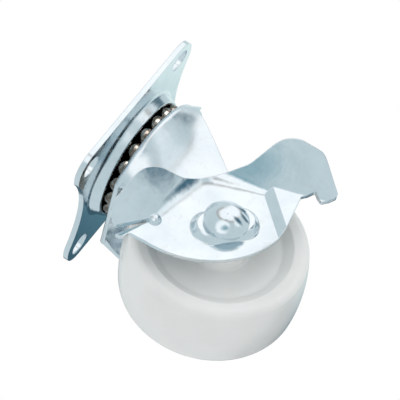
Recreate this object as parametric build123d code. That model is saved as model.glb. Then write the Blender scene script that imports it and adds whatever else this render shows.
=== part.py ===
from build123d import *
import os
from math import asin, atan2, cos, pi, radians, sin, sqrt, tan

# Swivel plate castor with a foot brake on its near side, wheel of 40 mm.
# Millimetres. The origin is the centre of the plate's top face, on the swivel
# axis. +Z is up, and the plate's sides lie along X and Y. The head is built
# with its trail along +X and its brake on +Y, and is then turned by head_yaw.

# Overall places
wheel_diameter = 40.0
axle_drop = 31.6
trail = 12.7
head_yaw = 7.2

# Top plate
plate_side = 42.0
plate_thickness = 1.2
plate_corner_radius = 4.8
waist_depth = 3.5
waist_end_gap = 7.0
waist_blend_radius = 5.0
hole_edge_distance = 4.5
hole_diameter = 5.2
boss_wall_run = 0.8
boss_rim_width = 2.3
boss_depth = 2.4
boss_root_round = 0.8
boss_mouth_round = 1.6
boss_lip_round = 0.4

# Outer row of balls, between the plate's boss and the fork's crown
ball_diameter = 3.97
ball_gap = 0.02
ball_circle_radius = 12.1
ball_phase = 47.5
race_depth = 0.7
race_clearance = 0.05

# Inner row of balls, between the crown's hub and the race cup
inner_ball_diameter = 3.175
inner_ball_gap = 0.2
inner_row_inset = 2.55
hub_race_depth = 0.5
cup_race_depth = 0.6
cup_thickness = 0.8
cup_rim_height = 0.9

# King rivet
king_shank_radius = 3.0
king_tail_radius = 2.4
king_head_radius = 5.0
king_head_height = 1.8
king_peen_radius = 4.0
king_peen_height = 1.2
king_clearance = 0.3
seat_clearance = 0.05

# Fork, one pressing of sheet
fork_thickness = 1.2
crown_rim_width = 3.6
crown_edge_round = 0.9
skirt_depth = 4.05
skirt_end_angle = 145.0
skirt_lap_angle = 4.0
hub_rise = 1.65
hub_wall_run = 1.1
hub_land = 2.45
shoulder_reach = 16.5
shoulder_half_width = 10.6
fork_inside_width = 24.2
knee_height = 14.0
knee_blend = 0.45
leg_end_radius = 8.4
leg_front_lean = 36.0
leg_rear_lean = 8.7

# Wheel, one moulding
wheel_width = 17.5
wheel_edge_round = 1.8
tread_crown = 0.86
face_radius = 15.9
face_depth = 1.6
face_floor_radius = 13.6
face_edge_round = 0.6
hub_radius = 6.5
hub_side_gap = 0.2
bore_clearance = 0.08

# Axle: a tubular bush held between the legs by a rivet
axle_radius = 2.5
bush_outer_radius = 3.4
axle_head_radius = 4.9
axle_head_edge = 0.8
axle_head_dome = 1.9
peen_radius = 4.1
peen_height = 1.4
washer_radius = 5.4
washer_thickness = 1.0
axle_clearance = 0.05

# Brake lever, one pressing of sheet, in places seen from its own side:
# the first number is forward of the axle and the second is above it.
# A crease is where the planes of the floor and of a flared wing meet, and a
# place along it is counted from the foot of its distance to the axle.
lever_thickness = 1.0
lever_gap = 0.1
flare_angle = 40.0
flare_root = 3.6
neck_bend_radius = 9.0
crease_corner_radius = 4.5
rear_crease_distance = 11.2
rear_crease_angle = 82.5
rear_bend_radius = 4.0
rear_bend_place = -11.4
front_crease_distance = 10.9
front_crease_angle = 22.0
front_bend_radius = 1.8
front_bend_place = 9.0
joggle_distance = 10.8
joggle_angle = -41.0
joggle_height = 1.2
joggle_run = 2.1
joggle_overlap = 0.2
cam_length = 15.0
cam_width = 8.4
cam_height = 1.5
cam_angle = 140.0
cam_flank_taper = 35.0
cam_edge_round = 0.8
cam_foot_round = 0.6
slit_width = 0.4
slit_place = -10.0
slit_lean = 19.5
dimple_radius = 1.6
dimple_hollow_radius = 0.8
lever_corners = [
    (-14.2, 10.9), (-14.6, 14.6), (-16.9, 15.3), (-16.9, 20.2), (-1.6, 20.2), (3.0, 13.5),
    (14.6, 3.9), (23.1, 0.5), (24.6, -7.9), (20.8, -15.0), (17.8, -12.8), (18.8, -10.5),
    (16.2, -8.7), (7.5, -10.6), (4.4, -10.7),
]
lever_corner_rounds = [0.8, 1.4, 3.4, 9.0, 3.5, 5.0, 7.0, 4.0, 0.5, 0.4, 0.4, 0.4, 1.2]
lever_belly_point = (-8.6, -3.5)

# Sizes that follow from the ball circle and the plate
boss_lip_radius = ball_circle_radius + boss_rim_width
boss_base_radius = boss_lip_radius + boss_wall_run
crown_radius = ball_circle_radius + crown_rim_width
hub_foot_radius = ball_circle_radius - hub_land
hub_top_radius = hub_foot_radius - hub_wall_run
inner_ball_circle_radius = hub_top_radius - inner_row_inset
ball_count = int(2 * pi * ball_circle_radius / (ball_diameter + ball_gap))
inner_ball_count = int(2 * pi * inner_ball_circle_radius / (inner_ball_diameter + inner_ball_gap))
waist_half_length = plate_side / 2 - waist_end_gap
hole_spacing = plate_side - 2 * hole_edge_distance
lever_reach = max(abs(value) for corner in lever_corners for value in corner)

# Heights that follow from the sizes above
plate_under_z = -plate_thickness
lip_z = plate_under_z - boss_depth
floor_z = lip_z + plate_thickness
race_radius = ball_diameter / 2 + race_clearance
ball_z = lip_z + race_depth - race_radius
crown_z = ball_z + race_depth - race_radius
crown_under_z = crown_z - fork_thickness
hub_top_z = crown_z + hub_rise
hub_under_z = hub_top_z - fork_thickness
inner_race_radius = inner_ball_diameter / 2 + race_clearance
inner_ball_z = hub_under_z + hub_race_depth - inner_race_radius
cup_top_z = inner_ball_z + cup_race_depth - inner_race_radius
cup_under_z = cup_top_z - cup_thickness
skirt_end_z = crown_z - skirt_depth
axle_z = -axle_drop
knee_z = axle_z + knee_height
leg_inner_y = fork_inside_width / 2
leg_outer_y = leg_inner_y + fork_thickness
lever_inner_y = leg_outer_y + lever_gap
head_seat_y = lever_inner_y + lever_thickness + cam_height + lever_gap
far_seat_y = -leg_outer_y - washer_thickness


def rounded(section, place, radius):
    """Round the corner of a flat section that lies at a place."""
    corner = section.vertices().sort_by_distance((place[0], place[1], 0))[0]
    return fillet(corner, radius)


def span(low_x, high_x, low_y, high_y):
    """A flat rectangle between four limits."""
    middle = ((low_x + high_x) / 2, (low_y + high_y) / 2)
    return Pos(*middle) * Rectangle(high_x - low_x, high_y - low_y)


def turned(section):
    """Revolve a section, drawn as radius and height, about the swivel axis."""
    return revolve(Plane.XZ * section, Axis.Z)


def turned_on_axle(section):
    """Revolve a section, drawn as radius and distance along Y, about the axle."""
    return Pos(trail, 0, axle_z) * Rot(-90, 0, 0) * revolve(Plane.XZ * section, Axis.Z)


def in_head(shape):
    """Turn a piece of the head to the angle at which it stands at rest."""
    return Rot(0, 0, head_yaw) * shape


def plate_outline():
    """Rounded square, waisted on its two X sides."""
    outline = RectangleRounded(plate_side, plate_side, plate_corner_radius)
    waist_radius = (waist_half_length**2 + waist_depth**2) / (2 * waist_depth)
    centre_x = plate_side / 2 - waist_depth + waist_radius
    for side in (-1, 1):
        outline -= Pos(side * centre_x, 0) * Circle(waist_radius)
    for side_x in (-1, 1):
        for side_y in (-1, 1):
            tip = (side_x * plate_side / 2, side_y * waist_half_length)
            outline = rounded(outline, tip, waist_blend_radius)
    return outline


def boss_section():
    """Half section of the pressed boss, from the king hole out to the flat sheet."""
    wall_angle = atan2(boss_depth, boss_base_radius - boss_lip_radius)
    inset = plate_thickness * tan(wall_angle / 2)
    joint_radius = boss_base_radius + boss_root_round
    hole_radius = king_shank_radius + seat_clearance
    root = (boss_base_radius, plate_under_z)
    mouth = (boss_base_radius - inset, 0)
    lip = (boss_lip_radius, lip_z)
    section = Polygon(
        (hole_radius, lip_z),
        lip,
        root,
        (joint_radius, plate_under_z),
        (joint_radius, 0),
        mouth,
        (boss_lip_radius - inset, floor_z),
        (hole_radius, floor_z),
        align=None,
    )
    section = rounded(section, root, boss_root_round)
    section = rounded(section, mouth, boss_mouth_round)
    section = rounded(section, lip, boss_lip_round)
    ball_place = Pos(ball_circle_radius, ball_z)
    arch = ball_place * Circle(race_radius + plate_thickness)
    arch &= span(0, boss_lip_radius, (lip_z + floor_z) / 2, 0)
    return section + arch - ball_place * Circle(race_radius), joint_radius


def top_plate():
    """Square plate with its boss, raceway and four screw holes."""
    section, joint_radius = boss_section()
    sheet = extrude(plate_outline() - Circle(joint_radius), -plate_thickness)
    plate = sheet + turned(section)
    for side_x in (-1, 1):
        for side_y in (-1, 1):
            corner = Pos(side_x * hole_spacing / 2, side_y * hole_spacing / 2, plate_under_z / 2)
            plate -= corner * Cylinder(hole_diameter / 2, 3 * plate_thickness)
    return plate


def king_rivet():
    """Rivet on the swivel axis: head in the boss, shoulder on the race cup, peened tail."""
    head_top = floor_z + king_head_height
    peen_end = cup_under_z - king_peen_height
    section = Polygon(
        (0, head_top),
        (king_head_radius, head_top),
        (king_head_radius, floor_z),
        (king_shank_radius, floor_z),
        (king_shank_radius, cup_top_z),
        (king_tail_radius, cup_top_z),
        (king_tail_radius, cup_under_z),
        (king_peen_radius, cup_under_z),
        (king_peen_radius, peen_end),
        (0, peen_end),
        align=None,
    )
    section = rounded(section, (king_head_radius, head_top), king_head_height * 0.6)
    section = rounded(section, (king_peen_radius, peen_end), king_peen_height * 0.7)
    return turned(section)


def race_cup():
    """Pressed cup that holds the inner balls up against the crown."""
    ball_place = Pos(inner_ball_circle_radius, inner_ball_z)
    rim_z = cup_top_z + cup_rim_height
    outer_radius = inner_ball_circle_radius + inner_race_radius + cup_thickness
    low_z = inner_ball_z - inner_race_radius - cup_thickness
    bowl = ball_place * Circle(inner_race_radius + cup_thickness)
    below = span(0, outer_radius, low_z, cup_top_z)
    beside = span(inner_ball_circle_radius, outer_radius, low_z, rim_z)
    hole_radius = king_tail_radius + seat_clearance
    disc = span(hole_radius, inner_ball_circle_radius, cup_under_z, cup_top_z)
    section = disc + (bowl & (below + beside)) - ball_place * Circle(inner_race_radius)
    return turned(section)


def ball(index, count, circle_radius, height, diameter, phase):
    """One ball of a row that is spaced evenly on its circle."""
    angle = phase + index * 360 / count
    return Rot(0, 0, angle) * Pos(circle_radius, 0, height) * Sphere(diameter / 2)


def crown_section():
    """Half section of the crown's middle: raised hub, inner lip and ball groove."""
    edge_radius = crown_radius - fork_thickness
    slope = atan2(hub_rise, hub_foot_radius - hub_top_radius)
    inset = fork_thickness * tan(slope / 2)
    hole_radius = king_shank_radius + king_clearance
    section = Polygon(
        (hole_radius, hub_top_z),
        (hub_top_radius, hub_top_z),
        (hub_foot_radius, crown_z),
        (edge_radius, crown_z),
        (edge_radius, crown_under_z),
        (hub_foot_radius - inset, crown_under_z),
        (hub_top_radius - inset, hub_under_z),
        (hole_radius, hub_under_z),
        align=None,
    )
    inner_place = Pos(inner_ball_circle_radius, inner_ball_z)
    hub_arch = inner_place * Circle(inner_race_radius + fork_thickness)
    hub_arch &= span(0, hub_top_radius, (hub_top_z + hub_under_z) / 2, 0)
    outer_place = Pos(ball_circle_radius, ball_z)
    trough = outer_place * Circle(race_radius + fork_thickness)
    trough &= span(0, edge_radius, 2 * crown_under_z, (crown_z + crown_under_z) / 2)
    section = section + hub_arch + trough
    section -= inner_place * Circle(inner_race_radius)
    section -= outer_place * Circle(race_radius)
    return section


def side_arc_centre():
    """Centre and radius of the crown's side arc, tangent to its round front."""
    angle = radians(skirt_end_angle)
    start_x = crown_radius * cos(angle)
    start_y = crown_radius * sin(angle)
    run_x = shoulder_reach - start_x
    run_y = shoulder_half_width - start_y
    along = -run_x * cos(angle) - run_y * sin(angle)
    radius = (run_x**2 + run_y**2) / (2 * along)
    return start_x - radius * cos(angle), start_y - radius * sin(angle), radius


def crown_outline():
    """Plan of the crown: round in front, shouldered at the back where the legs hang."""
    centre_x, centre_y, radius = side_arc_centre()
    front_angle = radians(skirt_end_angle)
    start = (crown_radius * cos(front_angle), crown_radius * sin(front_angle))
    crest = (centre_x, centre_y + radius)
    corner = (shoulder_reach, shoulder_half_width)
    outline = ThreePointArc((start[0], -start[1]), (-crown_radius, 0), start)
    outline += ThreePointArc(start, crest, corner)
    outline += Line(corner, (corner[0], -corner[1]))
    outline += ThreePointArc((corner[0], -corner[1]), (crest[0], -crest[1]), (start[0], -start[1]))
    return make_face(outline)


def leg_front_x(height):
    """X of the leg's sloping front edge, at a height over the axle."""
    lean = radians(leg_front_lean)
    return trail - (leg_end_radius + sin(lean) * height) / cos(lean)


def leg_rear_x(height):
    """X of the leg's rear edge, at a height over the axle."""
    lean = radians(leg_rear_lean)
    return trail + (leg_end_radius - sin(lean) * height) / cos(lean)


def leg_slice(fraction):
    """Cross section of the near leg's upper part, from its knee (0) to the crown (1)."""
    centre_x, centre_y, radius = side_arc_centre()
    height = knee_height + fraction * (crown_under_z - knee_z)
    if fraction < knee_blend:
        spread = fraction**2 / (2 * knee_blend)
    else:
        spread = fraction - knee_blend / 2
    spread /= 1 - knee_blend / 2
    front_angle = radians(skirt_end_angle)
    rear_angle = atan2(shoulder_half_width - centre_y, shoulder_reach - centre_x)
    front_x = max(leg_front_x(height), crown_radius * cos(front_angle))
    rear_x = leg_rear_x(height)
    rear_x += fraction * (shoulder_reach - rear_x)
    points = []
    for depth in (0, fork_thickness):
        flat_y = leg_outer_y - depth
        crown_front_y = (crown_radius - depth) * sin(front_angle)
        crown_rear_y = shoulder_half_width - depth * sin(rear_angle)
        lean_in = depth * spread
        front = (front_x - lean_in * cos(front_angle), flat_y + spread * (crown_front_y - flat_y))
        rear = (rear_x - lean_in * cos(rear_angle), flat_y + spread * (crown_rear_y - flat_y))
        middle_x = (front_x + rear_x) / 2 + spread * (centre_x - (front_x + rear_x) / 2)
        middle = (middle_x, flat_y + spread * (centre_y + radius - depth - flat_y))
        points.append((front, middle, rear))
    outer, inner = points
    if fraction == 0:
        edges = Line(outer[0], outer[2]) + Line(inner[0], inner[2])
    else:
        edges = ThreePointArc(*outer) + ThreePointArc(*inner)
    edges += Line(outer[0], inner[0])
    edges += Line(outer[2], inner[2])
    return Pos(0, 0, axle_z + height) * make_face(edges)


def near_leg():
    """One leg: it slopes in from the crown, then hangs flat to its round end."""
    steps = [0, knee_blend / 3, 2 * knee_blend / 3, knee_blend, (1 + knee_blend) / 2, 1]
    slope = loft([leg_slice(step) for step in steps])
    front = radians(leg_front_lean)
    rear = radians(leg_rear_lean)
    flat = Polygon(
        (leg_front_x(knee_height), knee_height),
        (leg_rear_x(knee_height), knee_height),
        (trail + leg_end_radius * cos(rear), leg_end_radius * sin(rear)),
        (trail, 0),
        (trail - leg_end_radius * cos(front), -leg_end_radius * sin(front)),
        align=None,
    )
    flat += Pos(trail, 0) * Circle(leg_end_radius)
    flat -= Pos(trail, 0) * Circle(axle_radius + axle_clearance)
    wall = extrude(Plane.XZ.offset(-leg_outer_y) * Pos(0, axle_z) * flat, fork_thickness, dir=(0, -1, 0))
    return slope + wall


def fork():
    """Crown, front skirt and two legs, in one piece of sheet."""
    cap = extrude(Pos(0, 0, crown_under_z) * crown_outline(), fork_thickness)
    rim = cap.edges().filter_by_position(Axis.Z, crown_z - 0.01, crown_z + 0.01)
    cap = fillet(rim, crown_edge_round)
    middle_radius = crown_radius - fork_thickness
    cap -= Pos(0, 0, crown_z) * Cylinder(middle_radius, 4 * fork_thickness)
    crown = cap + turned(crown_section())
    lap = skirt_end_angle - skirt_lap_angle
    skirt_section = span(middle_radius, crown_radius, skirt_end_z, crown_under_z)
    sweep_angle = 2 * (180 - lap)
    skirt = Rot(0, 0, lap) * revolve(Plane.XZ * skirt_section, Axis.Z, sweep_angle)
    leg = near_leg()
    return crown + skirt + leg + mirror(leg, Plane.XZ)


def wheel():
    """Crowned wheel with dished faces and a long hub, one moulding."""
    radius = wheel_diameter / 2
    half = wheel_width / 2
    edge_radius = radius - tread_crown
    hub_half = leg_inner_y - hub_side_gap
    bore = bush_outer_radius + bore_clearance
    tread = ThreePointArc((edge_radius, -half), (radius, 0), (edge_radius, half))
    side = Polyline(
        (edge_radius, half),
        (face_radius, half),
        (face_floor_radius, half - face_depth),
        (hub_radius, half - face_depth),
        (hub_radius, hub_half),
        (bore, hub_half),
    )
    edges = tread + side + mirror(side, Plane.XZ) + Line((bore, -hub_half), (bore, hub_half))
    section = make_face(edges)
    for way in (-1, 1):
        section = rounded(section, (edge_radius, way * half), wheel_edge_round)
        section = rounded(section, (face_radius, way * half), face_edge_round)
        section = rounded(section, (face_floor_radius, way * (half - face_depth)), 2 * face_edge_round)
        section = rounded(section, (hub_radius, way * (half - face_depth)), face_edge_round)
    return turned_on_axle(section)


def axle_bush():
    """Tube between the legs, on which the wheel turns."""
    section = span(axle_radius + axle_clearance, bush_outer_radius, -leg_inner_y, leg_inner_y)
    return turned_on_axle(section)


def axle_rivet():
    """Rivet through the brake, legs and bush, domed on the brake's side."""
    rim_y = head_seat_y + axle_head_edge
    crest_y = rim_y + axle_head_dome
    peen_end = far_seat_y - peen_height
    dome_radius = (axle_head_radius**2 + axle_head_dome**2) / (2 * axle_head_dome)
    dome_angle = asin(axle_head_radius / dome_radius) / 2
    shoulder = (dome_radius * sin(dome_angle), crest_y - dome_radius * (1 - cos(dome_angle)))
    edges = Line((0, peen_end), (0, crest_y))
    edges += ThreePointArc((0, crest_y), shoulder, (axle_head_radius, rim_y))
    edges += Polyline(
        (axle_head_radius, rim_y),
        (axle_head_radius, head_seat_y),
        (axle_radius, head_seat_y),
        (axle_radius, far_seat_y),
        (peen_radius, far_seat_y),
        (peen_radius, peen_end),
        (0, peen_end),
    )
    section = rounded(make_face(edges), (peen_radius, peen_end), peen_height * 0.7)
    return turned_on_axle(section)


def axle_washer():
    """Washer under the peened end of the axle rivet, on the far leg."""
    section = span(axle_radius + axle_clearance, washer_radius, far_seat_y, -leg_outer_y)
    return turned_on_axle(section)


def crease_plane(distance, angle, along):
    """Plane across a crease: its x points out of the lever and its y off the leg."""
    turn = radians(angle)
    outward = (cos(turn), sin(turn), 0)
    onward = (sin(turn), -cos(turn), 0)
    place = (
        distance * outward[0] + along * onward[0],
        distance * outward[1] + along * onward[1],
        0,
    )
    return Plane(origin=place, x_dir=outward, z_dir=onward)


def crease_corner():
    """Centre of the corner arc that joins the lever's two creases."""
    rear = radians(rear_crease_angle)
    front = radians(front_crease_angle)
    rear_gap = rear_crease_distance - crease_corner_radius
    front_gap = front_crease_distance - crease_corner_radius
    scale = sin(rear - front)
    forward = (front_gap * sin(rear) - rear_gap * sin(front)) / scale
    up = (rear_gap * cos(front) - front_gap * cos(rear)) / scale
    return forward, up


def corner_place(angle):
    """Place along a crease where the corner arc begins."""
    forward, up = crease_corner()
    turn = radians(angle)
    return forward * sin(turn) - up * cos(turn)


def flare_section(bend_radius):
    """Section across a crease: floor, bend with its radius on top, and flared wing."""
    angle = radians(flare_angle)
    centre_x = -bend_radius * tan(angle / 2)
    centre_y = lever_thickness + bend_radius
    rows = []
    for radius in (bend_radius, bend_radius + lever_thickness):
        start = (centre_x, centre_y - radius)
        middle = (centre_x + radius * sin(angle / 2), centre_y - radius * cos(angle / 2))
        end = (centre_x + radius * sin(angle), centre_y - radius * cos(angle))
        tip = (end[0] + lever_reach * cos(angle), end[1] + lever_reach * sin(angle))
        rows.append(((-flare_root, start[1]), start, middle, end, tip))
    top, under = rows
    edges = Line(top[0], top[1]) + ThreePointArc(top[1], top[2], top[3]) + Line(top[3], top[4])
    edges += Line(top[4], under[4])
    edges += Line(under[4], under[3]) + ThreePointArc(under[3], under[2], under[1])
    edges += Line(under[1], under[0]) + Line(under[0], top[0])
    return make_face(edges)


def flare(distance, angle, stations):
    """Flared edge along a straight crease, from places along it with their bend radii."""
    sections = [crease_plane(distance, angle, along) * flare_section(radius) for along, radius in stations]
    flared = loft(sections[:2], ruled=True)
    for pair in zip(sections[1:], sections[2:]):
        flared += loft(pair, ruled=True)
    return flared


def floor_area():
    """Flat area of the lever, as far as the roots of its flared edges."""
    forward, up = crease_corner()
    radius = crease_corner_radius - flare_root
    rear = radians(rear_crease_angle)
    front = radians(front_crease_angle)
    rear_start, middle, front_start = [
        (forward + radius * cos(turn), up + radius * sin(turn)) for turn in (rear, (rear + front) / 2, front)
    ]
    reach = 2 * lever_reach
    rear_end = (rear_start[0] - reach * sin(rear), rear_start[1] + reach * cos(rear))
    front_end = (front_start[0] + reach * sin(front), front_start[1] - reach * cos(front))
    far_corner = (rear_end[0], front_end[1])
    edges = Line(rear_end, rear_start) + ThreePointArc(rear_start, middle, front_start)
    edges += Polyline(front_start, front_end, far_corner, rear_end)
    return make_face(edges)


def slit_root():
    """Location of the slit's root on the rear crease, its x pointing along the slit."""
    root = crease_plane(rear_crease_distance, rear_crease_angle, slit_place).origin
    return Pos(root.X, root.Y) * Rot(0, 0, rear_crease_angle + 90 - slit_lean)


def flared_sheet():
    """Flat floor of the lever with its flared rear and front wings."""
    forward, up = crease_corner()
    rear_corner = corner_place(rear_crease_angle)
    front_corner = corner_place(front_crease_angle)
    rear_stations = [
        (-lever_reach, rear_bend_radius),
        (rear_bend_place, rear_bend_radius),
        (rear_corner, neck_bend_radius),
    ]
    front_stations = [
        (front_corner, neck_bend_radius),
        (front_bend_place, front_bend_radius),
        (lever_reach, front_bend_radius),
    ]
    rear = flare(rear_crease_distance, rear_crease_angle, rear_stations)
    front = flare(front_crease_distance, front_crease_angle, front_stations)
    front_start = crease_plane(front_crease_distance, front_crease_angle, front_corner)
    neck = revolve(
        front_start * flare_section(neck_bend_radius),
        Axis((forward, up, 0), (0, 0, 1)),
        rear_crease_angle - front_crease_angle,
    )
    side = 2 * lever_reach
    beyond = extrude(slit_root() * Pos(side / 2, side / 2 - slit_width) * Rectangle(side, side), side)
    tongue = slit_root() * Pos(side / 2, side / 2) * Rectangle(side, side)
    return extrude(floor_area() + tongue, lever_thickness) + neck + front + (rear - beyond)


def joggled(sheet):
    """Step the lever's lower front corner away from the leg, along a diagonal."""
    reach = 2 * lever_reach
    across = Rot(0, 0, joggle_angle) * Pos(joggle_distance + reach / 2, 0)
    sheet -= across * Pos(0, 0, joggle_height / 2 - reach / 2) * Box(reach, 2 * reach, reach + joggle_height)
    inset = lever_thickness * tan(atan2(joggle_height, joggle_run) / 2)
    section = Polygon(
        (-inset, 0),
        (0, 0),
        (joggle_run, joggle_height),
        (reach, joggle_height),
        (reach, joggle_height + lever_thickness),
        (joggle_run - inset, joggle_height + lever_thickness),
        (-inset, lever_thickness),
        align=None,
    )
    step = extrude(crease_plane(joggle_distance, joggle_angle, 0) * section, reach, both=True)
    edge = front_crease_distance + joggle_height / tan(radians(flare_angle)) + joggle_overlap
    keep = Rot(0, 0, front_crease_angle) * Pos(edge - reach, 0) * Box(2 * reach, 4 * reach, reach)
    return sheet + (step & keep)


def lever_outline():
    """Outline of the lever: two wings, a hooked tab and a round belly."""
    start = lever_corners[0]
    end = lever_corners[-1]
    edges = FilletPolyline(*lever_corners, radius=lever_corner_rounds)
    edges += ThreePointArc(end, lever_belly_point, start)
    return make_face(edges)


def cam(grow, height):
    """Oval boss of the lever, with sloping flanks, seen as a solid."""
    oval = SlotOverall(cam_length + 2 * grow, cam_width + 2 * grow, rotation=cam_angle)
    return extrude(oval, height, taper=cam_flank_taper)


def brake_lever():
    """Foot lever: flat floor with an oval cam, two flared wings and a hooked tab."""
    sheet = joggled(flared_sheet())
    sheet &= extrude(Pos(0, 0, -lever_reach) * lever_outline(), 2 * lever_reach)
    bead = slit_root() * Pos(0, 0, lever_thickness / 2)
    sheet += bead * Sphere(dimple_radius)
    under = bead * Pos(0, 0, -lever_thickness / 2 - dimple_radius)
    sheet -= under * Cylinder(2 * dimple_radius, 2 * dimple_radius)
    sheet -= bead * Sphere(dimple_hollow_radius)
    crown = cam(0, cam_height)
    top = crown.edges().filter_by_position(Axis.Z, cam_height - 0.01, cam_height + 0.01)
    sheet += Pos(0, 0, lever_thickness) * fillet(top, cam_edge_round)
    level = sheet.edges().filter_by_position(Axis.Z, lever_thickness - 0.01, lever_thickness + 0.01)
    foot = [edge for edge in level if edge.center().length < cam_length / 2 + cam_foot_round]
    sheet = fillet(foot, cam_foot_round)
    taper = radians(cam_flank_taper)
    sheet -= cam(lever_thickness * (tan(taper) - 1 / cos(taper)), cam_height)
    sheet -= Cylinder(axle_radius + axle_clearance, 4 * (lever_thickness + cam_height))
    side = Plane(origin=(trail, lever_inner_y, axle_z), x_dir=(-1, 0, 0), z_dir=(0, 1, 0))
    return side.location * sheet


def pieces():
    """Every piece by its name, where it stands at rest."""
    made = {
        "top_plate": top_plate(),
        "king_rivet": king_rivet(),
        "race_cup": race_cup(),
        "fork": in_head(fork()),
        "wheel": in_head(wheel()),
        "axle_bush": in_head(axle_bush()),
        "axle_rivet": in_head(axle_rivet()),
        "axle_washer": in_head(axle_washer()),
        "brake_lever": in_head(brake_lever()),
    }
    for index in range(ball_count):
        name = f"outer_ball_{index + 1:02d}"
        made[name] = ball(index, ball_count, ball_circle_radius, ball_z, ball_diameter, ball_phase)
    for index in range(inner_ball_count):
        name = f"inner_ball_{index + 1:02d}"
        made[name] = ball(
            index, inner_ball_count, inner_ball_circle_radius, inner_ball_z, inner_ball_diameter, ball_phase
        )
    return made


os.makedirs("parts", exist_ok=True)
for name, piece in pieces().items():
    export_step(piece, f"parts/{name}.step")
    print(name, round(piece.volume, 2))
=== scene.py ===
import math

import bmesh
import bpy
from mathutils import Matrix, Vector


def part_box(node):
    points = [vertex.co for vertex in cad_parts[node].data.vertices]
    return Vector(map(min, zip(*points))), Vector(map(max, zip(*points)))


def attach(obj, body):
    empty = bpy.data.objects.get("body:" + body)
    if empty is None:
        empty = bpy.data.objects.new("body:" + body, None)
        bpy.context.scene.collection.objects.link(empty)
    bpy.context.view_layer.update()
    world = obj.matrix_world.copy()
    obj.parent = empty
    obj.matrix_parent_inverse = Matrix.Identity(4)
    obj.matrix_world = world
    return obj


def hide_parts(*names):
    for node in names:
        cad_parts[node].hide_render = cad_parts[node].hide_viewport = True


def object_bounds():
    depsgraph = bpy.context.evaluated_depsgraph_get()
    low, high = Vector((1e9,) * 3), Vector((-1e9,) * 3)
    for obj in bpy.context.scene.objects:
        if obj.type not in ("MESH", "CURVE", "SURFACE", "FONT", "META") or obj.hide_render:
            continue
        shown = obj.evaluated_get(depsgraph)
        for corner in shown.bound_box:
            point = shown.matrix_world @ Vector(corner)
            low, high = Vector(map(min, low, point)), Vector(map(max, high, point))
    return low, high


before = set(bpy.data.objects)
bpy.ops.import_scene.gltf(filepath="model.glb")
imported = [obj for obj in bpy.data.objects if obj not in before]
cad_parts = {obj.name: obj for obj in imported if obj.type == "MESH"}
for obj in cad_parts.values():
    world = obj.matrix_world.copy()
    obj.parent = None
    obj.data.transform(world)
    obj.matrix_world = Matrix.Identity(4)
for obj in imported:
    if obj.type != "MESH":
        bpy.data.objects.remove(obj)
cad_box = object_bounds()

MM = 0.001

# Corners of a square with a half side of 1, in order round it
SQUARE = ((-1, -1), (1, -1), (1, 1), (-1, 1))

# Sockets of a colour mix node, which has others for plain values and vectors
MIX_COLOURS = (6, 7)
MIX_RESULT = 2

# Camera, fitted to the photograph: it looks up at the castor a little, from
# the brake's side, and is rolled so that the plate stands at the upper left
CAMERA_TARGET = Vector((1.44, 2.03, -20.41)) * MM
CAMERA_AZIMUTH = 151.97
CAMERA_ELEVATION = -12.43
CAMERA_ROLL = 57.29
CAMERA_DISTANCE = 1221.3 * MM
CAMERA_LENS = 514.8
CAMERA_SENSOR = 36.0
CAMERA_CLIP = (0.05, 20.0)

# Gap about the outer balls, from the imported pieces, that is darkened by
# grease and by painted shade of the unlit gap. The dark fades out towards its
# rim, and a little above and below the balls, and the grease makes what it
# covers rougher.
ball_low, ball_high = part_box("outer_ball_01")
BALL_RADIUS = (ball_high.z - ball_low.z) / 2
BALL_HEIGHT = (ball_high.z + ball_low.z) / 2
BALL_CIRCLE = ((ball_low + ball_high) / 2).to_2d().length
GREASE_SHADE_REACH = BALL_CIRCLE + BALL_RADIUS + 0.1 * MM
GREASE_SHADE_RIM = 0.5 * MM
GREASE_SHADE_RISE = (0.08 * MM, 0.12 * MM)
GREASE_DULL = 0.15

# Colours of the finishes, and the lowest and highest roughness of each
ZINC_DEEP = (0.72, 0.79, 0.83)
ZINC_PALE = (0.82, 0.87, 0.90)
ZINC_SPOT = (0.70, 0.70, 0.68)
# Grease and painted shade of the unlit gap about the balls
GREASE_AND_SHADE = (0.050, 0.040, 0.032)
NYLON_DEEP = (0.80, 0.815, 0.80)
NYLON_PALE = (0.86, 0.875, 0.865)
# Balls, dark both from grease and as painted shade of the gap they sit in
BALL_DEEP = (0.14, 0.12, 0.10)
BALL_PALE = (0.36, 0.34, 0.31)
SHEET_GLOSS = (0.08, 0.14)
RACE_GLOSS = (0.10, 0.18)
FORK_GLOSS = (0.20, 0.28)
NYLON_GLOSS = (0.16, 0.24)
BALL_GLOSS = (0.07, 0.16)

# How much the small spots of the zinc show, and how much the rolled grain
# adds to the waves of the sheet
SPOT_SHARE = 0.35
GRAIN_SHARE = 0.15

# Depths of the finishes: waves of pressed sheet and of a moulding, the
# tumbled edges of the plated sheet, and how far light goes into nylon
SHEET_WAVE = 0.10 * MM
NYLON_WAVE = 0.06 * MM
EDGE_ROUND = 0.22 * MM
EDGE_SAMPLES = 6
NYLON_DEPTH = 1.5 * MM

# Floor under the wheel, and the even light of the room on all that is matt
FLOOR_HALF = 1.5
FLOOR_COLOUR = (0.86, 0.87, 0.87)
FLOOR_ROUGH = 0.9
SOFT_LIGHT = (0.92, 0.925, 0.93)
WHITE = (1.0, 1.0, 1.0)

# Square lamps: the way to each in the camera's own axes, which are right, up
# and towards the camera, then its distance, its side and its watts
LAMPS = {
    "softbox_top": ((0.25, 0.9, 0.3), 0.9, 0.9, 1.4),
    "softbox_right": ((0.9, 0.2, 0.4), 1.0, 0.7, 1.0),
}
GLINT_LAMP = ((0.15, 0.85, 0.50), 0.6, 0.5, 3.5)

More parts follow.
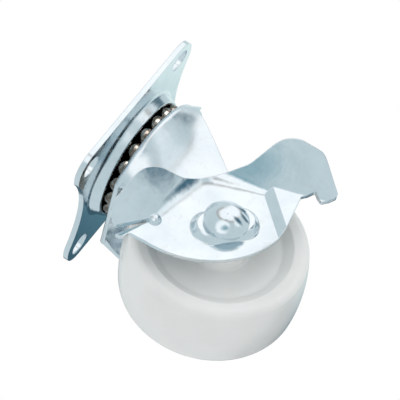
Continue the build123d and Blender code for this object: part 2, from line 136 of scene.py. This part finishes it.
# What the metal sees: a room with round softboxes and dark cards, each laid
# over those before it. Each has the way to it in the camera's own axes, the
# angles from there in degrees at which it is still full and just gone, and
# its colour.
ROOM_COLOUR = (0.64, 0.73, 0.76)
STUDIO = [
    ((0.75, 0.57, -0.34), 12.0, 16.0, (0.12, 0.20, 0.24)),
    ((0.26, 0.93, 0.27), 30.0, 31.5, (0.34, 0.30, 0.27)),
    ((0.74, 0.52, 0.44), 9.0, 14.0, (1.00, 1.05, 1.07)),
    ((0.00, 0.42, 0.91), 20.0, 26.0, (1.15, 1.16, 1.17)),
    ((0.26, 0.93, 0.27), 22.0, 30.0, (1.15, 1.16, 1.17)),
    ((0.40, 0.88, -0.05), 16.0, 24.0, (1.15, 1.16, 1.17)),
    ((0.40, 0.84, -0.35), 8.0, 16.0, (1.10, 1.12, 1.13)),
]

# Small oval cards near the castor, mirrored softly in its bends. Each has its
# centre in millimetres from the camera's target along the camera's own axes,
# the way of its long side in those axes, its two half sizes in millimetres,
# the share of them at which it starts to fade, and its colour.
NEAR_CARDS = {
    "rear_bend_card": (
        (30.5, 15.5, 31.0), (-0.39, 0.90, 0.19), (13.0, 6.0), 0.40, (0.06, 0.15, 0.21),
    ),
    "front_bend_card": (
        (9.5, 4.5, 52.0), (1.0, 0.0, 0.0), (11.0, 8.5), 0.30, (0.30, 0.47, 0.53),
    ),
    "neck_card": (
        (11.6, 23.4, 47.0), (1.0, 0.0, 0.0), (5.0, 3.5), 0.30, (0.38, 0.38, 0.37),
    ),
}

# Card behind the castor, mirrored by the plate's underside and graded along a
# line from dark at the lower left to pale at the upper right. Its two end
# stops come first, then those between them, each a place on that line and a
# colour.
BACK_CARD_WAY = (0.354, -0.227, -0.907)
BACK_CARD_DISTANCE = 160.0 * MM
BACK_CARD_HALF = 120.0 * MM
BACK_CARD_LINE = (0.55, 0.83, 0.0)
BACK_CARD_STOPS = [
    (-30.0 * MM, (0.05, 0.11, 0.15)),
    (24.0 * MM, (0.80, 0.93, 0.92)),
    (-12.0 * MM, (0.10, 0.22, 0.28)),
    (4.0 * MM, (0.45, 0.62, 0.66)),
]

# Fork legs, trimmed to the photograph's outline. About the axle the sheet is
# cut back to a smaller round end, from which both edges run up at their own
# slopes. The front one ends at the lower edge of the crown's skirt, and the
# rear one turns at the knee towards the crown's shoulder. The knee's height is
# over the axle, the skirt's depth and the shoulder's gap are below the crown's
# sheet, and the shoulder's reach and the skirt's end are along the trail from
# the swivel axis.
SHEET = 1.2 * MM
LEG_END_RADIUS = 6.1 * MM
LEG_FRONT_LEAN = math.radians(36.0)
LEG_REAR_LEAN = math.radians(8.7)
KNEE_HEIGHT = 14.0 * MM
SHOULDER_REACH = 16.5 * MM
SHOULDER_GAP = 0.3 * MM
SKIRT_DEPTH = 4.05 * MM
SKIRT_END_X = -12.2 * MM
ROUND_STEPS = 24
SHOULDER_STEPS = 8
CUTTER_REACH = 45.0 * MM
WELD_REACH = 0.001 * MM
SMOOTH_LIMIT = math.radians(28.0)


def camera_axes():
    """Right, up and back of the photograph's camera."""
    azimuth = math.radians(CAMERA_AZIMUTH)
    elevation = math.radians(CAMERA_ELEVATION)
    back = Vector((
        math.sin(azimuth) * math.cos(elevation),
        -math.cos(azimuth) * math.cos(elevation),
        math.sin(elevation),
    ))
    level_right = Vector((0, 0, 1)).cross(back).normalized()
    level_up = back.cross(level_right)
    roll = math.radians(CAMERA_ROLL)
    right = level_right * math.cos(roll) - level_up * math.sin(roll)
    up = level_right * math.sin(roll) + level_up * math.cos(roll)
    return right, up, back


def from_camera_axes(values):
    """Vector in the row frame from its values along the camera's own axes."""
    right, up, back = camera_axes()
    return right * values[0] + up * values[1] + back * values[2]


def studio_way(values):
    """Direction in the row frame of a way given in the camera's own axes."""
    return from_camera_axes(values).normalized()


def square_to(vector, way):
    """Direction of the part of a vector that stands square to a way."""
    return (vector - way * vector.dot(way)).normalized()


def new_object(name, data):
    """New object in the scene."""
    made = bpy.data.objects.new(name, data)
    bpy.context.scene.collection.objects.link(made)
    return made


def new_quad(name, corners):
    """New flat object from its four corners."""
    mesh = bpy.data.meshes.new(name)
    mesh.from_pydata(corners, [], [(0, 1, 2, 3)])
    return new_object(name, mesh)


def make_camera():
    """Long-lens camera at the photograph's angle."""
    right, up, back = camera_axes()
    data = bpy.data.cameras.new("camera")
    data.lens = CAMERA_LENS
    data.sensor_width = CAMERA_SENSOR
    data.clip_start, data.clip_end = CAMERA_CLIP
    camera = new_object("camera", data)
    turn = Matrix((right, up, back)).transposed().to_4x4()
    camera.matrix_world = Matrix.Translation(CAMERA_TARGET + back * CAMERA_DISTANCE) @ turn
    bpy.context.scene.camera = camera


def new_material(name):
    """Node material and its node tree."""
    material = bpy.data.materials.new(name)
    material.use_nodes = True
    return material, material.node_tree


def add(tree, kind, **settings):
    """New node with its plain settings."""
    node = tree.nodes.new(kind)
    for key, value in settings.items():
        setattr(node, key, value)
    return node


def principled(tree, **values):
    """The material's Principled shader, with input values given by their names."""
    shader = tree.nodes["Principled BSDF"]
    for key, value in values.items():
        shader.inputs[key.replace("_", " ")].default_value = value
    return shader


def surface(tree, shader):
    """Make a shader the material's surface."""
    tree.links.new(shader, tree.nodes["Material Output"].inputs["Surface"])


def mix_shader(tree, factor, first, second):
    """Mix two shaders by a factor."""
    node = add(tree, "ShaderNodeMixShader")
    for key, socket in (("Fac", factor), (1, first), (2, second)):
        tree.links.new(socket, node.inputs[key])
    return node.outputs[0]


def clear_shader(tree):
    """Shader that lets everything through."""
    return add(tree, "ShaderNodeBsdfTransparent").outputs[0]


def object_position(tree):
    """Position in the piece's own frame, which is the row frame in metres for a CAD piece."""
    return add(tree, "ShaderNodeTexCoord").outputs["Object"]


def noise(tree, scale, detail, rough, stretch=None):
    """Noise value at a scale in waves per metre, stretched along an axis if asked."""
    place = object_position(tree)
    if stretch is not None:
        mapping = add(tree, "ShaderNodeMapping")
        mapping.inputs["Scale"].default_value = stretch
        tree.links.new(place, mapping.inputs["Vector"])
        place = mapping.outputs["Vector"]
    texture = add(tree, "ShaderNodeTexNoise")
    for key, value in (("Scale", scale), ("Detail", detail), ("Roughness", rough)):
        texture.inputs[key].default_value = value
    tree.links.new(place, texture.inputs["Vector"])
    return texture.outputs["Fac"]


def spread(tree, value, low, high, out_low=0.0, out_high=1.0):
    """Map a range of a value to another range, held at its ends."""
    node = add(tree, "ShaderNodeMapRange")
    limits = {"From Min": low, "From Max": high, "To Min": out_low, "To Max": out_high}
    for key, number in limits.items():
        node.inputs[key].default_value = number
    tree.links.new(value, node.inputs["Value"])
    return node.outputs["Result"]


def mix_colour(tree, factor, first, second):
    """Mix two colours, each a tuple or a socket, by a factor."""
    node = add(tree, "ShaderNodeMix", data_type="RGBA")
    tree.links.new(factor, node.inputs["Factor"])
    for key, colour in zip(MIX_COLOURS, (first, second)):
        if isinstance(colour, tuple):
            node.inputs[key].default_value = (*colour, 1.0)
        else:
            tree.links.new(colour, node.inputs[key])
    return node.outputs[MIX_RESULT]


def maths(tree, operation, first, second=None):
    """Math node on sockets or numbers."""
    node = add(tree, "ShaderNodeMath", operation=operation)
    for key, value in ((0, first), (1, second)):
        if value is None:
            continue
        if isinstance(value, (int, float)):
            node.inputs[key].default_value = value
        else:
            tree.links.new(value, node.inputs[key])
    return node.outputs[0]


def ramp(tree, value, stops):
    """Colour by a value, from stops of place and colour whose two ends come first."""
    low, high = stops[0][0], stops[1][0]
    node = add(tree, "ShaderNodeValToRGB")
    tree.links.new(spread(tree, value, low, high), node.inputs["Fac"])
    elements = node.color_ramp.elements
    for index, (place, colour) in enumerate(stops):
        share = (place - low) / (high - low)
        element = elements[index] if index < 2 else elements.new(share)
        element.position = share
        element.color = (*colour, 1.0)
    return node.outputs["Color"]


def along(tree, vector, axis):
    """How far a vector runs along a fixed axis."""
    node = add(tree, "ShaderNodeVectorMath", operation="DOT_PRODUCT")
    tree.links.new(vector, node.inputs[0])
    node.inputs[1].default_value = axis
    return node.outputs["Value"]


def angle_from(tree, values):
    """Angle in degrees between the world's direction and a way in the camera's own axes."""
    direction = add(tree, "ShaderNodeTexCoord").outputs["Generated"]
    cosine = along(tree, direction, studio_way(values))
    return maths(tree, "DEGREES", maths(tree, "ARCCOSINE", cosine))


def bump(tree, shader, height, distance, strength, edge_round=0.0):
    """Bump from a height and its depth, over edges rounded by a radius if asked."""
    node = add(tree, "ShaderNodeBump")
    node.inputs["Strength"].default_value = strength
    node.inputs["Distance"].default_value = distance
    tree.links.new(height, node.inputs["Height"])
    if edge_round:
        edges = add(tree, "ShaderNodeBevel", samples=EDGE_SAMPLES)
        edges.inputs["Radius"].default_value = edge_round
        tree.links.new(edges.outputs["Normal"], node.inputs["Normal"])
    tree.links.new(node.outputs["Normal"], shader.inputs["Normal"])


def grease_and_shade_mask(tree):
    """1 in the gap about the balls, darkened by grease and painted shade, 0 elsewhere."""
    split = add(tree, "ShaderNodeSeparateXYZ")
    tree.links.new(object_position(tree), split.inputs[0])
    x, y, z = split.outputs
    squares = maths(tree, "ADD", maths(tree, "MULTIPLY", x, x), maths(tree, "MULTIPLY", y, y))
    radius = maths(tree, "SQRT", squares)
    inside = spread(tree, radius, GREASE_SHADE_REACH - GREASE_SHADE_RIM, GREASE_SHADE_REACH, 1.0, 0.0)
    rise = maths(tree, "ABSOLUTE", maths(tree, "SUBTRACT", z, BALL_HEIGHT))
    full, gone = GREASE_SHADE_RISE
    level = spread(tree, rise, BALL_RADIUS + full, BALL_RADIUS + gone, 1.0, 0.0)
    return maths(tree, "MULTIPLY", inside, level)


def zinc(name, gloss, greased_and_shaded=False):
    """Bright blue-white zinc plating on pressed sheet, darkened in the race by grease and
    painted shade if asked.
    """
    material, tree = new_material(name)
    shader = principled(tree, Metallic=1.0)
    cloud = noise(tree, scale=120.0, detail=4.0, rough=0.55)
    mottle = noise(tree, scale=700.0, detail=3.0, rough=0.6)
    rolled = noise(tree, scale=500.0, detail=5.0, rough=0.6, stretch=(1.0, 1.0, 12.0))
    colour = mix_colour(tree, spread(tree, cloud, 0.35, 0.65), ZINC_DEEP, ZINC_PALE)
    spots = spread(tree, mottle, 0.55, 0.75, 0.0, SPOT_SHARE)
    colour = mix_colour(tree, spots, colour, ZINC_SPOT)
    roughness = spread(tree, rolled, 0.3, 0.7, *gloss)
    if greased_and_shaded:
        # Grease and painted shade darken the gap about the balls
        mask = grease_and_shade_mask(tree)
        colour = mix_colour(tree, mask, colour, GREASE_AND_SHADE)
        roughness = maths(tree, "ADD", roughness, maths(tree, "MULTIPLY", mask, GREASE_DULL))
    tree.links.new(colour, shader.inputs["Base Color"])
    tree.links.new(roughness, shader.inputs["Roughness"])
    waves = noise(tree, scale=260.0, detail=2.0, rough=0.5)
    height = maths(tree, "ADD", waves, maths(tree, "MULTIPLY", rolled, GRAIN_SHARE))
    bump(tree, shader, height, SHEET_WAVE, strength=0.6, edge_round=EDGE_ROUND)
    return material


def nylon(name):
    """Glossy, slightly milky white moulding."""
    material, tree = new_material(name)
    shader = principled(
        tree,
        Subsurface_Weight=0.25,
        Subsurface_Radius=(1.0, 1.0, 0.9),
        Subsurface_Scale=NYLON_DEPTH,
        IOR=1.53,
    )
    cloud = noise(tree, scale=90.0, detail=3.0, rough=0.5)
    grain = noise(tree, scale=900.0, detail=3.0, rough=0.6)
    colour = mix_colour(tree, spread(tree, cloud, 0.3, 0.7), NYLON_DEEP, NYLON_PALE)
    tree.links.new(colour, shader.inputs["Base Color"])
    tree.links.new(spread(tree, grain, 0.3, 0.7, *NYLON_GLOSS), shader.inputs["Roughness"])
    waves = noise(tree, scale=160.0, detail=2.0, rough=0.5)
    bump(tree, shader, waves, NYLON_WAVE, strength=0.35)
    return material


def ball_steel(name):
    """Polished steel of the balls, dark all over with painted shade of their gap, and smeared
    with grease where it is dull.
    """
    material, tree = new_material(name)
    shader = principled(tree, Metallic=1.0)
    smear = noise(tree, scale=900.0, detail=3.0, rough=0.6)
    colour = mix_colour(tree, spread(tree, smear, 0.45, 0.65), BALL_DEEP, BALL_PALE)
    glossy, dull = BALL_GLOSS
    tree.links.new(colour, shader.inputs["Base Color"])
    tree.links.new(spread(tree, smear, 0.3, 0.7, dull, glossy), shader.inputs["Roughness"])
    return material


def give(piece, material):
    """Put one material on a piece."""
    piece.data.materials.clear()
    piece.data.materials.append(material)


def ball_pieces():
    """The balls of both rows."""
    return [piece for name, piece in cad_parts.items() if "_ball_" in name]


def keep_profile():
    """Side outline of the legs, front edge first, and the wheel's centre.

    Each point is a place along the trail from the swivel axis and a height over the axle.
    """
    wheel_low, wheel_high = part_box("wheel")
    centre = (wheel_low + wheel_high) / 2
    trail = centre.to_2d().length
    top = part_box("fork")[1].z - SHEET - centre.z
    skirt_end = top - SKIRT_DEPTH

    def front(height):
        reach = LEG_END_RADIUS + math.sin(LEG_FRONT_LEAN) * height
        return trail - reach / math.cos(LEG_FRONT_LEAN)

    def rear(height):
        reach = LEG_END_RADIUS - math.sin(LEG_REAR_LEAN) * height
        plain = trail + reach / math.cos(LEG_REAR_LEAN)
        share = max(0.0, (height - KNEE_HEIGHT) / (top - KNEE_HEIGHT))
        return plain + share * (SHOULDER_REACH - plain)

    points = [(SKIRT_END_X, skirt_end), (front(skirt_end), skirt_end)]
    first = math.pi + LEG_FRONT_LEAN
    last = 2 * math.pi + LEG_REAR_LEAN
    for step in range(ROUND_STEPS + 1):
        angle = first + (last - first) * step / ROUND_STEPS
        across = LEG_END_RADIUS * math.cos(angle)
        points.append((trail + across, LEG_END_RADIUS * math.sin(angle)))
    for step in range(SHOULDER_STEPS + 1):
        height = KNEE_HEIGHT + (top - SHOULDER_GAP - KNEE_HEIGHT) * step / SHOULDER_STEPS
        points.append((rear(height), height))
    return points, centre


def leg_cutter():
    """Prism across both legs of all that lies outside their side outline."""
    points, centre = keep_profile()
    ring = points + [
        (CUTTER_REACH, points[-1][1]),
        (CUTTER_REACH, -CUTTER_REACH),
        (-CUTTER_REACH, -CUTTER_REACH),
        (-CUTTER_REACH, points[0][1]),
    ]
    turn = Matrix.Rotation(math.atan2(centre.y, centre.x), 3, "Z")
    mesh = bmesh.new()
    sides = []
    for y in (-CUTTER_REACH, CUTTER_REACH):
        corners = [turn @ Vector((x, y, centre.z + height)) for x, height in ring]
        sides.append([mesh.verts.new(corner) for corner in corners])
    mesh.faces.new(sides[0])
    mesh.faces.new(list(reversed(sides[1])))
    for index in range(len(ring)):
        follow = (index + 1) % len(ring)
        mesh.faces.new((sides[0][index], sides[0][follow], sides[1][follow], sides[1][index]))
    bmesh.ops.recalc_face_normals(mesh, faces=mesh.faces)
    data = bpy.data.meshes.new("leg_cutter")
    mesh.to_mesh(data)
    mesh.free()
    return new_object("leg_cutter", data)


def trimmed_fork():
    """Fork whose legs are cut back to the photograph's outline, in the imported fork's place."""
    mesh = bmesh.new()
    mesh.from_mesh(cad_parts["fork"].data)
    bmesh.ops.remove_doubles(mesh, verts=mesh.verts, dist=WELD_REACH)
    data = bpy.data.meshes.new("fork_pressing")
    mesh.to_mesh(data)
    mesh.free()
    fork = new_object("fork_pressing", data)
    cutter = leg_cutter()
    cut = fork.modifiers.new("trim", "BOOLEAN")
    cut.operation = "DIFFERENCE"
    cut.solver = "EXACT"
    cut.object = cutter
    bpy.context.view_layer.update()
    made = fork.evaluated_get(bpy.context.evaluated_depsgraph_get())
    trimmed = bpy.data.meshes.new_from_object(made)
    fork.modifiers.clear()
    fork.data = trimmed
    bpy.data.objects.remove(cutter)
    trimmed.shade_smooth()
    trimmed.set_sharp_from_angle(angle=SMOOTH_LIMIT)
    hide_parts("fork")
    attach(fork, "head")
    return fork


def dress():
    """Finish of every CAD node and of the trimmed fork."""
    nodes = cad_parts
    plated = zinc("zinc_sheet", SHEET_GLOSS)
    race_plated = zinc("zinc_race", RACE_GLOSS, greased_and_shaded=True)
    fork_plated = zinc("zinc_fork", FORK_GLOSS, greased_and_shaded=True)
    give(nodes["top_plate"], race_plated)
    give(nodes["fork"], fork_plated)
    give(trimmed_fork(), fork_plated)
    for name in (
        "king_rivet", "race_cup", "axle_rivet", "axle_washer", "axle_bush", "brake_lever",
    ):
        give(nodes[name], plated)
    give(nodes["wheel"], nylon("white_nylon"))
    balls = ball_steel("ball_steel")
    for piece in ball_pieces():
        give(piece, balls)


def make_lamp(name, way, distance, side, watts):
    """Square lamp that faces the castor, and is hidden from the camera and the metal."""
    way = studio_way(way)
    data = bpy.data.lights.new(name, "AREA")
    data.shape = "SQUARE"
    data.size = side
    data.energy = watts
    lamp = new_object(name, data)
    lamp.location = CAMERA_TARGET + way * distance
    lamp.rotation_mode = "QUATERNION"
    lamp.rotation_quaternion = way.to_track_quat("Z", "Y")
    lamp.visible_camera = False
    lamp.visible_glossy = False
    return lamp


def make_ball_glint():
    """Lamp that only the balls see, bright enough to glint through their grease and painted
    shade.
    """
    lamp = make_lamp("ball_glint", *GLINT_LAMP)
    lamp.visible_glossy = True
    balls = bpy.data.collections.new("balls")
    for piece in ball_pieces():
        balls.objects.link(piece)
    lamp.light_linking.receiver_collection = balls


def make_floor():
    """Pale floor under the wheel, seen by the camera from above alone and not by the metal."""
    low = cad_box[0].z
    floor = new_quad("floor", [(x * FLOOR_HALF, y * FLOOR_HALF, low) for x, y in SQUARE])
    material, tree = new_material("floor")
    pale = principled(tree, Base_Color=(*FLOOR_COLOUR, 1.0), Roughness=FLOOR_ROUGH)
    path = add(tree, "ShaderNodeLightPath").outputs
    bounced = maths(tree, "MAXIMUM", path["Is Glossy Ray"], path["Is Diffuse Ray"])
    under = add(tree, "ShaderNodeNewGeometry").outputs["Backfacing"]
    hidden = maths(tree, "MAXIMUM", under, bounced)
    surface(tree, mix_shader(tree, hidden, pale.outputs[0], clear_shader(tree)))
    give(floor, material)


def show_to_gloss(card):
    """Make a card seen by reflections alone."""
    card.visible_camera = False
    card.visible_diffuse = False
    card.visible_transmission = False
    card.visible_shadow = False


def make_back_card():
    """Graded card behind the castor that only the metal's reflections see."""
    way = studio_way(BACK_CARD_WAY)
    line = square_to(studio_way(BACK_CARD_LINE), way)
    across = way.cross(line)
    centre = CAMERA_TARGET + way * BACK_CARD_DISTANCE
    corners = [centre + (line * a + across * b) * BACK_CARD_HALF for a, b in SQUARE]
    card = new_quad("back_card", corners)
    material, tree = new_material("back_card")
    place = along(tree, object_position(tree), line)
    place = maths(tree, "SUBTRACT", place, centre.dot(line))
    glow = add(tree, "ShaderNodeEmission")
    tree.links.new(ramp(tree, place, BACK_CARD_STOPS), glow.inputs["Color"])
    surface(tree, glow.outputs[0])
    give(card, material)
    show_to_gloss(card)


def make_near_cards():
    """Small oval cards with soft rims, each turned to the castor."""
    for name, (place, line, halves, core, colour) in NEAR_CARDS.items():
        offset = from_camera_axes(place) * MM
        facing = offset.normalized()
        long_side = square_to(studio_way(line), facing)
        short_side = facing.cross(long_side)
        card = new_quad(name, [(x, y, 0) for x, y in SQUARE])
        turn = Matrix((long_side, short_side, facing)).transposed().to_4x4()
        size = Matrix.Diagonal((halves[0] * MM, halves[1] * MM, MM, 1.0))
        card.matrix_world = Matrix.Translation(CAMERA_TARGET + offset) @ turn @ size
        material, tree = new_material(name)
        reach = add(tree, "ShaderNodeVectorMath", operation="LENGTH")
        tree.links.new(object_position(tree), reach.inputs[0])
        fade = spread(tree, reach.outputs["Value"], core, 1.0)
        glow = add(tree, "ShaderNodeEmission")
        glow.inputs["Color"].default_value = (*colour, 1.0)
        surface(tree, mix_shader(tree, fade, glow.outputs[0], clear_shader(tree)))
        give(card, material)
        show_to_gloss(card)


def make_world():
    """Studio that the metal mirrors: even light for matt surfaces, white for the camera."""
    world = bpy.data.worlds.new("studio")
    world.use_nodes = True
    bpy.context.scene.world = world
    tree = world.node_tree
    background = tree.nodes["Background"]
    room = ROOM_COLOUR
    for way, full, gone, colour in STUDIO:
        share = spread(tree, angle_from(tree, way), full, gone, 1.0, 0.0)
        room = mix_colour(tree, share, room, colour)
    path = add(tree, "ShaderNodeLightPath").outputs
    seen = mix_colour(tree, path["Is Glossy Ray"], SOFT_LIGHT, room)
    seen = mix_colour(tree, path["Is Camera Ray"], seen, WHITE)
    tree.links.new(seen, background.inputs["Color"])
    background.inputs["Strength"].default_value = 1.0


bpy.context.scene.view_settings.view_transform = "Standard"
make_camera()
make_world()
make_floor()
make_back_card()
make_near_cards()
for name, lamp in LAMPS.items():
    make_lamp(name, *lamp)
make_ball_glint()
dress()
